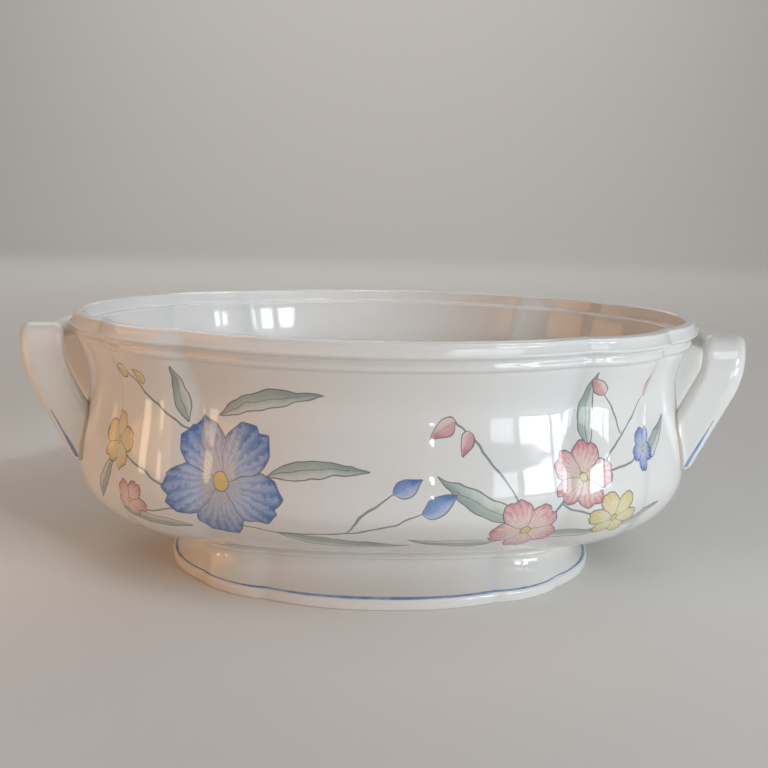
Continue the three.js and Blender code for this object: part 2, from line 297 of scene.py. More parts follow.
# %% [markdown]
# ## The template of the bowl
#
# The wall starts at a small flat under the floor, swells out to the belly, draws in to a neck and
# flares into a rim with a roll, a cove and a bulging band. Over the lip it comes down inside, past
# the ledge that a lid would sit on, and back to the floor. At the ends the belly is full, and at
# the sides it is leaner, so the template keeps a reach for each.

# %% Template helpers
BELLY_SQUARENESS, FOOT_SQUARENESS, COLLAR_SQUARENESS = 2.0, 2.17, 3.2
RIM_FLUTE, BELLY_FLUTE, FOOT_FLUTE = 4.2, 3.6, 2.0


def ring(end_reach, side_reach, height, flute, squareness=BELLY_SQUARENESS):
    return [end_reach, side_reach, height, flute, squareness]


def quarter_round(radius, steps=5):
    """Inset and rise along a rounded edge, from its flat end to its upright end."""
    turns = [math.pi / 2 * i / steps for i in range(steps + 1)]
    return [(radius * (1 - math.sin(t)), radius * (1 - math.cos(t))) for t in turns]


def smooth_line(points, steps):
    """A curve through the points, as a bent spline would give."""
    ends = [points[0], *points, points[-1]]
    line = []
    for i in range(steps + 1):
        at = i / steps * (len(points) - 1)
        k = min(int(at), len(points) - 2)
        t = at - k
        a, b, c, d = (Vector(ends[k + j]) for j in range(4))
        line.append(
            b + (c - a) * (t / 2) + (a - b * 2.5 + c * 2 - d * 0.5) * t**2
            + (b * 1.5 - a * 0.5 - c * 1.5 + d * 0.5) * t**3
        )
    return line


# %% Belly, wall and rim
BELLY = {"length": 284.6, "width": 213.0, "height": 48.0}
FLAT = {"length": 180.0, "width": 83.0, "height": 16.0, "rise": 0.6}
RIM = {"length": 284.0, "width": 214.5, "height": 116.5}
WALL, FLOOR = 4.6, 5.0
NECK_INSET, NECK_DROP = 5.3, 28.5
END_FULLNESS, SIDE_FULLNESS = 2.19, 1.57
BELLY_STEPS, WALL_STEPS, FLARE_STEPS, MOULDING_STEPS = 26, 18, 12, 56


def belly_rings(bottom, grow):
    rings = []
    for i in range(BELLY_STEPS + 1):
        drop = max(math.cos(math.pi / 2 * i / BELLY_STEPS), 0.0)
        end_share = (1 - drop**END_FULLNESS) ** (1 / END_FULLNESS)
        side_share = (1 - drop**SIDE_FULLNESS) ** (1 / SIDE_FULLNESS)
        rings.append(ring(
            mix(FLAT["length"] / 2, BELLY["length"] / 2 + grow, end_share),
            mix(FLAT["width"] / 2, BELLY["width"] / 2 + grow, side_share),
            BELLY["height"] - (BELLY["height"] - bottom) * drop,
            BELLY_FLUTE * math.sqrt(side_share),
            mix(COLLAR_SQUARENESS, BELLY_SQUARENESS, end_share),
        ))
    return rings


def wall_curve(start, end, steps, start_upright, end_upright):
    """S-curve between two rings; its two ends stay upright for a share of the rise."""
    rise = end[2] - start[2]
    heights = [start[2], start[2] + start_upright * rise, end[2] - end_upright * rise, end[2]]
    rings = []
    for i in range(1, steps + 1):
        t = i / steps
        weights = [(1 - t) ** 3, 3 * t * (1 - t) ** 2, 3 * t**2 * (1 - t), t**3]
        leave, arrive = weights[0] + weights[1], weights[2] + weights[3]
        height = sum(w * h for w, h in zip(weights, heights))
        reach = [leave * a + arrive * b for a, b in zip(start[:2], end[:2])]
        rings.append(ring(*reach, height, mix(start[3], end[3], t)))
    return rings


def rim_ring(reach, drop):
    return ring(RIM["length"] / 2 + reach, RIM["width"] / 2 + reach, RIM["height"] - drop, RIM_FLUTE)


# %% Rim and lid seat
FLANGE, MOULDING = 2.8, 12.0
MOULDING_SHARES = [
    (-0.46, 1.0), (0.0, 0.92), (0.13, 0.81), (0.0, 0.7), (0.05, 0.62), (0.18, 0.583),
    (0.5, 0.54), (0.86, 0.492), (0.95, 0.442), (0.93, 0.408), (0.79, 0.367), (0.39, 0.19),
    (0.32, 0.067), (0.11, 0.03), (-0.5, 0.0),
]
LIP, LIP_ROUND = 3.6, 1.4
SEAT = {"drop": 6.0, "width": 4.0, "round": 1.0}


def moulding_rings():
    points = [(reach * FLANGE, drop * MOULDING, 0.0) for reach, drop in MOULDING_SHARES]
    return [rim_ring(point[0], point[1]) for point in smooth_line(points, MOULDING_STEPS)]


def seat_rings():
    nose = LIP + SEAT["width"]
    lip = [rim_ring(inset - LIP, drop) for inset, drop in quarter_round(LIP_ROUND)]
    bend = quarter_round(SEAT["round"])
    corner = [rim_ring(-LIP - rise, SEAT["drop"] - inset) for inset, rise in bend]
    edge = [rim_ring(inset - nose, SEAT["drop"] + drop) for inset, drop in bend]
    return lip + corner + edge


# %% The whole template of the bowl
def outer_rings(grow=0.0):
    belly = belly_rings(FLAT["height"] - grow, grow)
    neck, moulding = rim_ring(grow - NECK_INSET, NECK_DROP), moulding_rings()
    lower = wall_curve(belly[-1], neck, WALL_STEPS, 0.35, 0.35)
    flare = wall_curve(neck, moulding[0], FLARE_STEPS, 0.45, 0.15)
    return belly + lower + flare[:-1] + moulding


def inner_rings():
    seat, neck = seat_rings(), rim_ring(-WALL - NECK_INSET, NECK_DROP)
    belly = belly_rings(FLAT["height"] + FLOOR, -WALL)[::-1]
    throat = wall_curve(seat[-1], neck, FLARE_STEPS, 0.2, 0.4)
    return seat + throat + wall_curve(neck, belly[0], WALL_STEPS, 0.35, 0.35)[:-1] + belly


under = ring(0, 0, FLAT["height"] - FLAT["rise"], 0)
floor_middle = ring(0, 0, FLAT["height"] + FLOOR - FLAT["rise"], 0)
bowl_rings = [under, *outer_rings(), *inner_rings(), floor_middle]
print("the bowl's template has", len(bowl_rings), "points")

# %% [markdown]
# ## From a template to a skin
#
# The template becomes a line of vertices with two attributes, `reach` and `form`. The modifier
# sweeps it, and `new_from_object` keeps the result as a plain mesh, so nothing in the finished
# piece depends on the modifier any more. The sizes go in by each socket's identifier, because a
# modifier doesn't know its inputs by name.

# %% Sweep a template
def template_mesh(name, rings):
    along = 0.0
    reach, form = [], []
    for i, (end_reach, side_reach, height, flute, squareness) in enumerate(rings):
        if i:
            along += math.hypot(side_reach - rings[i - 1][1], height - rings[i - 1][2])
        reach.append(Vector((end_reach, side_reach, height)) * MM)
        form.append((flute * MM, squareness, along * MM))
    mesh = bpy.data.meshes.new(name)
    mesh.from_pydata(reach, [(i, i + 1) for i in range(len(rings) - 1)], [])
    for key, values in (("reach", reach), ("form", form)):
        known = mesh.attributes.new(key, "FLOAT_VECTOR", "POINT")
        known.data.foreach_set("vector", [number for value in values for number in value])
    return mesh


def grown(name, start_mesh, tree, **sizes):
    """Runs a node tree on a mesh and keeps what comes out as a plain mesh object."""
    piece = bpy.data.objects.new(name, start_mesh)
    bpy.context.scene.collection.objects.link(piece)
    modifier = piece.modifiers.new("shape", "NODES")
    modifier.node_group = tree
    sockets = {item.name: item for item in tree.interface.items_tree if item.in_out == "INPUT"}
    for key, value in sizes.items():
        modifier[sockets[key.replace("_", " ")].identifier] = value
    view = bpy.context.evaluated_depsgraph_get()
    shaped = bpy.data.meshes.new_from_object(
        piece.evaluated_get(view), preserve_all_data_layers=True, depsgraph=view
    )
    piece.modifiers.clear()
    piece.data = shaped
    shaped.name = name
    while shaped.materials and shaped.materials[0] is None:
        shaped.materials.pop(index=0)
    bpy.data.meshes.remove(start_mesh)
    corners = [Vector(corner) / MM for corner in piece.bound_box]
    size = [round(max(c[i] for c in corners) - min(c[i] for c in corners), 1) for i in range(3)]
    print(name, "is", size, "mm, with", len(shaped.polygons), "faces")
    return piece


bowl_glaze = bpy.data.materials.new("painted_white_glaze")
foot_glaze = bpy.data.materials.new("white_glaze_with_foot_line")
handle_glaze = bpy.data.materials.new("white_glaze_with_handle_line")
belly_row = BELLY_STEPS + 1
bowl = grown(
    "glazed_bowl", template_mesh("bowl_template", bowl_rings), fluted_oval,
    Guide_Row=belly_row, Glaze=bowl_glaze,
)

# %% [markdown]
# ## The foot
#
# The foot is a ring of the same fluted oval: a straight edge that the tureen stands on, a rounded
# shoulder with the painted line, a hollow curve that draws in, and a small collar under
# the bowl. Its top runs a millimetre into the bowl, as the slip that joins them does.

# %% Foot template
FOOT = {"length": 199.4, "width": 158.0, "height": 17.4}
COLLAR = {"length": 181.0, "width": 124.0, "ledge": 1.6}
FOOT_EDGE, FOOT_ROUND, SHOULDER_ROUND = 4.8, 0.8, 1.6
FOOT_WALL, FOOT_GROUND, FOOT_HOLLOW, FOOT_STEPS = 5.5, 4.0, 1.2, 14
SLIP_REACH, SHOULDER_ROW = 1.0, 8
# How far the collar stands out, and how far up it is as a share
COLLAR_SHARES = [(0.7, 0.12), (1.7, 0.3), (2.3, 0.6), (2.4, 0.9), (2.2, 1.3)]


def foot_ring_at(inset_share, thickness, height):
    return ring(
        mix(FOOT["length"], COLLAR["length"], inset_share) / 2 - thickness,
        mix(FOOT["width"], COLLAR["width"], inset_share) / 2 - thickness,
        height, FOOT_FLUTE, mix(FOOT_SQUARENESS, COLLAR_SQUARENESS, inset_share),
    )


def flare_rings(bottom, top, thickness):
    rings = []
    for i in range(FOOT_STEPS + 1):
        angle = math.pi / 2 * i / FOOT_STEPS
        height = mix(bottom, top, 1 - math.cos(angle))
        rings.append(foot_ring_at(math.sin(angle) ** FOOT_HOLLOW, thickness, height))
    return rings


def foot_rings():
    ledge, top = FOOT["height"] - COLLAR["ledge"], FOOT["height"] + COLLAR["ledge"] + SLIP_REACH
    edge = [foot_ring_at(0, inset, rise) for inset, rise in quarter_round(FOOT_ROUND)]
    shoulder = [
        foot_ring_at(0, inset, FOOT_EDGE - rise)
        for inset, rise in reversed(quarter_round(SHOULDER_ROUND))
    ]
    flare = flare_rings(FOOT_EDGE, ledge, SHOULDER_ROUND)[1:]
    collar = [
        foot_ring_at(1, SHOULDER_ROUND - out, mix(ledge, FOOT["height"], share))
        for out, share in COLLAR_SHARES
    ]
    inside = flare_rings(FOOT_EDGE, ledge, FOOT_ROUND + FOOT_WALL)[::-1]
    return [
        *edge, *shoulder, *flare, *collar,
        foot_ring_at(1, SHOULDER_ROUND, top),
        foot_ring_at(1, FOOT_ROUND + FOOT_WALL, top),
        *inside,
        foot_ring_at(0, FOOT_ROUND + FOOT_WALL, FOOT_ROUND),
        foot_ring_at(0, FOOT_ROUND + FOOT_GROUND, 0),
        edge[0],
    ]


foot = grown(
    "glazed_foot", template_mesh("foot_template", foot_rings()), fluted_oval,
    Guide_Row=SHOULDER_ROW, Glaze=foot_glaze,
)

# %% [markdown]
# ## The handles
#
# Each handle is a strap of clay, bent into a hoop, leant outwards and pressed onto the wall. A
# sweep along a path follows how it is made: the path is a flat hoop with round corners, the
# section is a rectangle with round edges, and the bending comes after, point by point. Where the
# strap comes near the wall it swells, because the potter smooths slip into the joint. Last, the
# ends are cut off inside the wall with a slightly smaller copy of the bowl.

# %% Handle sizes
HANDLE = {"projection": 17.7, "drop": 6.3, "span": 66.0, "corner": 15.0, "bow": 7.0}
HANDLE_UPRIGHT, LEAN_RADIUS, AIM_HEIGHT, ROOT_HEIGHT = 9.5, 31.0, 42.6, 49.6
STRAP = {"top": 19.6, "width": 17.5, "thickness": 10.0, "round": 4.0, "end": 2.2}
JOINT = {"reach": 3.5, "swell": 0.9, "sunk": 2.0}
FINENESS = 0.9


def handle_line():
    """The middle line of a handle from the side: an upright top, a bend and a straight leg."""
    centre_x = RIM["length"] / 2 + HANDLE["projection"] - STRAP["width"] / 2 - LEAN_RADIUS
    centre_z = RIM["height"] - HANDLE["drop"] - HANDLE_UPRIGHT
    across, down = BELLY["length"] / 2 - STRAP["width"] - centre_x, centre_z - AIM_HEIGHT
    distance = math.hypot(across, down)
    lean = math.atan2(down, across) - math.acos(LEAN_RADIUS / distance)
    to_aim = math.sqrt(distance**2 - LEAN_RADIUS**2)
    leg = (centre_z - LEAN_RADIUS * math.sin(lean) - ROOT_HEIGHT) / math.cos(lean)
    print("the handles lean out by", round(math.degrees(lean), 1), "degrees")
    return centre_x, centre_z, lean, leg, HANDLE_UPRIGHT + LEAN_RADIUS * lean + to_aim


centre_x, centre_z, lean, leg_length, taper_length = handle_line()
strap_length = HANDLE_UPRIGHT + LEAN_RADIUS * lean + leg_length


# %% Strap hoop tree
def bent_place(sheet, flat, width, thickness):
    """Where a point of the flat hoop goes when the hoop is tapered, leant and bowed."""
    centre_x, centre_z, radius, upright, lean = sheet.takes_all(
        "Bend Centre X", "Bend Centre Z", "Lean Radius", "Upright", "Lean"
    )
    leg, bow, half_span, top_width, taper, end_round = sheet.takes_all(
        "Leg Length", "Bow", "Half Span", "Top Width", "Taper Length", "End Round"
    )
    side, up, level = sheet.parts(flat)
    past_bend = (up * -1.0 - upright).reckon("MAXIMUM", 0.0)
    straight = (past_bend - radius * lean).reckon("MAXIMUM", 0.0)

    # The blunt ends of the legs are rounded, and level instead of square to the leg
    short = (end_round - (leg - straight)).reckon("MAXIMUM", 0.0)
    inset = end_round - ((end_round**2.0 - short**2.0).reckon("MAXIMUM", 0.0)) ** 0.5
    leg_middle = (half_span - thickness * 0.5) * side.reckon("SIGN")
    side = side - (side - leg_middle) * (inset / (thickness * 0.5))
    level = level * (1.0 - inset / (width * 0.5))
    stretch = mix(top_width / width, 1.0, up * -1.0 / taper)
    offset = width * 0.5 - (width * 0.5 - level) * stretch
    straight = straight * (1.0 - offset * lean.reckon("TANGENT") / leg)

    angle = (past_bend / radius).reckon("MINIMUM", lean)
    rise = (upright + up).reckon("MAXIMUM", 0.0)
    reach = radius + offset
    sine, cosine = angle.reckon("SINE"), angle.reckon("COSINE")
    bowed = bow * (1.0 - (abs(side) / half_span) ** 2.0)
    x = centre_x + reach * cosine - straight * sine + bowed
    z = centre_z + rise - reach * sine - straight * cosine
    strap_place = sheet.point(side, up * -1.0, offset)
    return sheet.point(x, side, z), sheet.point(up * -1.0, offset), strap_place


def strap_hoop_tree():
    sheet = NodeSheet("strap_hoop", "GeometryNodeTree")
    hoop = sheet.takes("Hoop", "Geometry")
    corner, fineness, width, thickness, edge_round, turn, joint_reach, joint_swell = sheet.takes_all(
        "Corner Radius", "Fineness", "Strap Width", "Strap Thickness", "Edge Round", "Turn",
        "Joint Reach", "Joint Swell",
    )
    wall, core = sheet.takes("Wall", "Object"), sheet.takes("Core", "Object")
    material = sheet.takes("Glaze", "Material")
    path = sheet.node("GeometryNodeMeshToCurve", hoop)
    path = sheet.node("GeometryNodeFilletCurve", path, mode="POLY", Count=24, Radius=corner)
    path = sheet.node("GeometryNodeResampleCurve", path, mode="LENGTH", Length=fineness)
    path = sheet.node("GeometryNodeSetCurveNormal", path, mode="Z_UP")
    section = sheet.node("GeometryNodeCurvePrimitiveQuadrilateral", thickness, width)
    section = sheet.node("GeometryNodeFilletCurve", section, mode="POLY", Count=6, Radius=edge_round)
    section = sheet.node("GeometryNodeResampleCurve", section, mode="LENGTH", Length=fineness)
    strap = sheet.node("GeometryNodeCurveToMesh", path, section, Fill_Caps=True)
    flat_place = sheet.node("GeometryNodeInputPosition")
    place, strap_point, strap_place = bent_place(sheet, flat_place, width, thickness)
    mapped = sheet.keep(strap, "strap_map", strap_point, "FLOAT2", "CORNER")
    mapped = sheet.keep(mapped, "strap_place", strap_place, "FLOAT_VECTOR")
    bent = sheet.node("GeometryNodeSetPosition", mapped, None, place)
    turned = sheet.node("GeometryNodeTransform", bent, Rotation=sheet.point(0.0, 0.0, turn))
    wall_skin = sheet.node("GeometryNodeObjectInfo", wall, out=4)
    near = sheet.node("GeometryNodeProximity", wall_skin, target_element="FACES", out=1)
    turned = sheet.keep(turned, "joint_gap", near, "FLOAT")
    closeness = (1.0 - near / joint_reach).reckon("MAXIMUM", 0.0)
    swell = closeness**2.0 * joint_swell
    outwards = sheet.node("GeometryNodeInputNormal")
    shift = sheet.node("ShaderNodeVectorMath", outwards, Scale=swell, operation="SCALE")
    joined = sheet.node("GeometryNodeSetPosition", turned, None, None, shift)
    core_block = sheet.node("GeometryNodeObjectInfo", core, out=4)
    cut = sheet.node(
        "GeometryNodeMeshBoolean", joined, core_block, operation="DIFFERENCE", solver="MANIFOLD"
    )
    bare = sheet.node("GeometryNodeRemoveAttribute", cut, "wall_map")
    bare = sheet.node("GeometryNodeRemoveAttribute", bare, "valley")
    sheet.gives("Strap", "Geometry", sheet.dressed(bare, material))
    return sheet.tree


# %% Two handles
def hoop_mesh():
    side, top = HANDLE["span"] / 2 - STRAP["thickness"] / 2, -STRAP["thickness"] / 2
    points = [(side, -strap_length), (side, top), (-side, top), (-side, -strap_length)]
    mesh = bpy.data.meshes.new("hoop")
    mesh.from_pydata([(x * MM, y * MM, 0) for x, y in points], [(0, 1), (1, 2), (2, 3)], [])
    return mesh


top_middle = ring(0, 0, RIM["height"], 0)
core = grown(
    "core", template_mesh("core_template", [under, *outer_rings(-JOINT["sunk"]), top_middle]), fluted_oval,
    Guide_Row=belly_row, Glaze=handle_glaze,
)
strap_hoop = strap_hoop_tree()
strap_sizes = {
    "Corner_Radius": HANDLE["corner"] - STRAP["thickness"] / 2, "Fineness": FINENESS,
    "Strap_Width": STRAP["width"], "Strap_Thickness": STRAP["thickness"],
    "Edge_Round": STRAP["round"], "Joint_Reach": JOINT["reach"], "Joint_Swell": JOINT["swell"],
    "Bend_Centre_X": centre_x, "Bend_Centre_Z": centre_z, "Lean_Radius": LEAN_RADIUS,
    "Upright": HANDLE_UPRIGHT, "Leg_Length": leg_length, "Bow": HANDLE["bow"],
    "Half_Span": HANDLE["span"] / 2, "Top_Width": STRAP["top"], "Taper_Length": taper_length,
    "End_Round": STRAP["end"],
}
handles = {}
for side, turn in {"right": 0.0, "left": math.pi}.items():
    handles[side] = grown(
        f"glazed_handle_{side}", hoop_mesh(), strap_hoop, Turn=turn, Lean=lean, Wall=bowl,
        Core=core, Glaze=handle_glaze, **{key: size * MM for key, size in strap_sizes.items()},
    )
bpy.data.objects.remove(core)

# %% [markdown]
# ## Floor and light
#
# White glaze shows its shape by what it mirrors, so the light matters as much as the material. A
# pale sheet lies under the tureen and curves up behind it. The room has a tall window in front on
# the right, in panes, which draws the crisp spots inside the bowl and along the rim. The wall of
# the bowl leans so that it mirrors what is low and near, so three low panes stand there for the
# window's lower part, and two strips on the left for a warm lamp. A large card on the left gives
# the brown of a room, one behind lights the back, and a broad ceiling light keeps the shadows
# soft. One lamp lights the sheet where it curves up, and a narrow beam over the front rim stands for
# the light that a real room throws into the bowl. No lamp shows to the camera itself. The plain
# view transform keeps white glaze and its mirrored window as far apart as a camera does.

# %% Floor
SHEET = {"half_width": 4.0, "front": -2.5, "flat": 5.0, "reach": 0.9, "rise": 2.2, "rows": 40}
FLAT_SHARE = 0.7


def floor_sheet():
    """A pale sheet that lies flat under the tureen and curves up far behind it."""
    mesh = bpy.data.meshes.new("floor")
    width, rows = SHEET["half_width"], []
    for i in range(SHEET["rows"] + 1):
        t = i / SHEET["rows"]
        y = SHEET["front"] + SHEET["flat"] * min(t / FLAT_SHARE, 1.0)
        lift = max(t - FLAT_SHARE, 0.0) / (1 - FLAT_SHARE) * math.pi / 2
        rows.append((y + SHEET["reach"] * math.sin(lift), SHEET["rise"] * (1 - math.cos(lift))))
    points = [(x, y, z) for y, z in rows for x in (-width, width)]
    faces = [(2 * i, 2 * i + 1, 2 * i + 3, 2 * i + 2) for i in range(len(rows) - 1)]
    mesh.from_pydata(points, [], faces)
    mesh.polygons.foreach_set("use_smooth", [True] * len(faces))
    floor = bpy.data.objects.new("floor", mesh)
    bpy.context.scene.collection.objects.link(floor)
    return floor


floor = floor_sheet()
paper = bpy.data.materials.new("pale_paper")
paper.use_nodes = True
paper_shader = paper.node_tree.nodes["Principled BSDF"]
paper_shader.inputs["Base Color"].default_value = (0.80, 0.78, 0.75, 1)
paper_shader.inputs["Roughness"].default_value = 0.9
floor.data.materials.append(paper)


# %% Lights
def soft_light(name, azimuth, elevation, distance, size, power, colour, target=(0, 0, 0.06),
               spread=180):
    """A rectangular light that looks at its target. Azimuth 0 is in front, 90 on the right."""
    light = bpy.data.lights.new(name, "AREA")
    light.shape, light.size, light.size_y = "RECTANGLE", *size
    light.energy, light.color, light.spread = power, colour, math.radians(spread)
    lamp = bpy.data.objects.new(name, light)
    a, e = math.radians(azimuth), math.radians(elevation)
    back = Vector((math.sin(a) * math.cos(e), -math.cos(a) * math.cos(e), math.sin(e)))
    lamp.location = Vector(target) + back * distance
    lamp.rotation_euler = back.to_track_quat("Z", "Y").to_euler()
    lamp.visible_camera = False
    bpy.context.scene.collection.objects.link(lamp)


DAYLIGHT, LOW_DAYLIGHT, PLAIN = (0.88, 0.94, 1.0), (0.82, 0.92, 1.0), (1.0, 0.98, 0.95)
LOW = {"elevation": -1.2, "distance": 0.55, "height": 0.074}
soft_light("window_left_pane", 42, 15, 2.4, (0.34, 0.6), 7.5, DAYLIGHT)
soft_light("window_right_pane", 53, 15, 2.4, (0.3, 0.6), 7, DAYLIGHT)
soft_light("window_sky", 42, 44, 2.0, (0.8, 0.8), 7, DAYLIGHT)
soft_light("ceiling", 0, 76, 1.9, (1.8, 1.8), 6, (0.97, 0.98, 1.0))
soft_light("warm_card", -76, 8, 1.5, (1.3, 1.0), 8.5, (1.0, 0.46, 0.15))
for name, azimuth, width, power, colour in (
    ("low_pane", 40, 0.09, 0.1, LOW_DAYLIGHT), ("low_pane", 54, 0.125, 0.4, LOW_DAYLIGHT),
    ("low_pane", 64.5, 0.05, 0.1, LOW_DAYLIGHT), ("warm_pane", -63, 0.04, 0.04, (1.0, 0.8, 0.55)),
    ("warm_pane", -77, 0.05, 0.05, (1.0, 0.8, 0.55)),
):
    soft_light(name, azimuth, LOW["elevation"], LOW["distance"], (width, LOW["height"]), power, colour)
for elevation in (2.2, -3.5):
    soft_light("small_lamp", 15, elevation, 0.6, (0.012, 0.012), 0.014, (1.0, 0.97, 0.9))
soft_light("back_card", 188, 34, 2.2, (1.8, 1.0), 5, PLAIN)
soft_light("sheet_light", 0, 52, 1.8, (3.0, 0.8), 16, (1.0, 0.98, 0.96), target=(0, 3.1, 0.5))
soft_light("inside_fill", 30, 36, 1.0, (0.2, 0.05), 0.026, (0.9, 0.97, 1.0), (-0.08, 0.08, 0.09), 14)

world = bpy.data.worlds.new("studio")
world.use_nodes = True
world.node_tree.nodes["Background"].inputs["Color"].default_value = (0.77, 0.78, 0.78, 1)
world.node_tree.nodes["Background"].inputs["Strength"].default_value = 0.12
bpy.context.scene.world = world
bpy.context.scene.view_settings.view_transform = "Standard"

# %% [markdown]
# ## The glaze
#
# The clay fires to a warm white, and a clear glaze lies over it like thin glass. It is thicker in
# the valleys, where it ran before it set, and looks a little cooler there. Its skin is nearly flat,
# but a kiln never leaves it quite so: a slow ripple bends the reflections of the window. All four
# pieces came out of the same glaze tub, so one shader group gives each of them its colour, its
# gloss and its ripple, and each piece passes in its own values.

# %% Glaze group
def glaze_skin_tree():
    sheet = NodeSheet("glaze_skin", "ShaderNodeTree")
    place, valley = sheet.takes("Place", "Vector"), sheet.takes("Valley")
    clay = sheet.takes("Clay Colour", "Color", (0.80, 0.785, 0.75, 1))
    pool = sheet.takes("Pool Colour", "Color", (0.72, 0.735, 0.72, 1))
    warm = sheet.takes("Warm Colour", "Color", (0.80, 0.765, 0.70, 1))
    gloss = sheet.takes("Least Roughness", default=0.045)
    clouds = sheet.ramp(sheet.speckle(place, 16.0, 3.0), 0.35, 0.75)
    grain = sheet.speckle(place, 900.0, 2.0, 0.7)
    colour = sheet.over(clouds * 0.45, clay, warm)
    colour = sheet.over(sheet.ramp(valley, 0.45, 1.0) * 0.5, colour, pool)
    dots = sheet.node("ShaderNodeTexVoronoi", place, Scale=120.0)
    lot = sheet.speckle(place, 61.0, 0.0)
    speck = sheet.fade(dots, 0.02, 0.025) * sheet.ramp(lot, 0.66, 0.7)
    colour = sheet.over(speck * 0.35, colour, (0.34, 0.29, 0.24, 1))
    colour = sheet.over(sheet.ramp(grain, 0.45, 0.8) * 0.05, colour, (0.6, 0.6, 0.6, 1))
    sheet.gives("Colour", "Color", colour)
    smears = sheet.ramp(sheet.speckle(place, 42.0, 4.0, 0.62), 0.5, 0.8)
    sheet.gives("Roughness", "Float", gloss + smears * 0.06 + grain * 0.012)
    ripple = sheet.speckle(place, 48.0, 1.5) * 0.8 + sheet.speckle(place, 190.0, 1.0) * 0.12
    sheet.gives("Height", "Float", ripple)
    return sheet.tree


glaze_skin = glaze_skin_tree()
print("glaze_skin has", len(glaze_skin.nodes), "nodes")

# %% [markdown]
# ## Brushes for the painting
#
# The flowers were printed from drawings and lie under the glaze, so they have colour but no relief.
# Three shader groups stand for the decorator's brushes: a leaf, a blossom and a fine stroke. Each
# takes the colour under it and gives the colour with its own mark on top, so marks are laid one
# over the other as on a real pot. Each group measures how far a point is inside its outline. The
# inside is filled with a wash that is deep at the rim and pale in the middle, and a thin grey line
# is drawn where that distance is nearly zero.

# %% Leaf and stroke groups
def leaf_outline(sheet, place):
    """Way along the leaf as a share, way across it, and half its width there, in millimetres."""
    start, turn = sheet.takes("Start", "Vector"), sheet.takes("Turn")
    length, width = sheet.takes("Length", default=30.0), sheet.takes("Width", default=6.0)
    bend, fullness = sheet.takes("Bend"), sheet.takes("Fullness", default=1.0)
    away = sheet.node("ShaderNodeVectorMath", place, start, operation="SUBTRACT")
    x, y, _ = sheet.parts(away)
    sine, cosine = turn.reckon("SINE"), turn.reckon("COSINE")
    share = (x * cosine + y * sine) / length
    inside = (share > 0.0) * (share < 1.0)
    share = share.reckon("MAXIMUM", 0.0).reckon("MINIMUM", 1.0)
    across = y * cosine - x * sine - bend * share**2.0
    half = (share**fullness * math.pi).reckon("SINE") * width * 0.5
    return share, across, half, inside


def painted_leaf_tree():
    sheet = NodeSheet("painted_leaf", "ShaderNodeTree")
    under, place = sheet.takes("Under", "Color"), sheet.takes("Place", "Vector")
    share, across, half, inside = leaf_outline(sheet, place)
    pale, deep = sheet.takes("Pale Colour", "Color"), sheet.takes("Deep Colour", "Color")
    blot = sheet.takes("Blot", default=0.5)
    ink = sheet.takes("Ink Colour", "Color", (0.15, 0.16, 0.18, 1))
    line, vein = sheet.takes("Line Width", default=0.3), sheet.takes("Vein", default=0.6)
    depth = half - abs(across)
    wash = sheet.ramp(across / half + blot - 0.5, -1.1, 0.7)
    tip = sheet.ramp(share, 0.45, 1.0) * 0.55
    colour = sheet.over((wash * 0.75 + tip).reckon("MINIMUM", 1.0), pale, deep)
    painted = sheet.over(sheet.ramp(depth, 0.0, 0.2) * inside, under, colour)
    middle = sheet.fade(abs(across), line * 0.35, 0.2)
    painted = sheet.over(middle * (share < 0.8) * inside * vein, painted, ink)
    edge = sheet.fade(abs(depth), line * 0.5, 0.22)
    sheet.gives("Colour", "Color", sheet.over(edge * inside * 0.85, painted, ink))
    return sheet.tree


def fine_stroke_tree():
    sheet = NodeSheet("fine_stroke", "ShaderNodeTree")
    under, place = sheet.takes("Under", "Color"), sheet.takes("Place", "Vector")
    share, across, half, inside = leaf_outline(sheet, place)
    ink = sheet.takes("Ink Colour", "Color", (0.22, 0.27, 0.26, 1))
    taper = half * 0.5 + 0.18
    mask = sheet.fade(abs(across), taper, 0.25) * inside
    sheet.gives("Colour", "Color", sheet.over(mask * 0.9, under, ink))
    return sheet.tree


painted_leaf, fine_stroke = painted_leaf_tree(), fine_stroke_tree()
print("painted_leaf has", len(painted_leaf.nodes), "nodes, fine_stroke", len(fine_stroke.nodes))


# %% Blossom group
STAMENS = 14


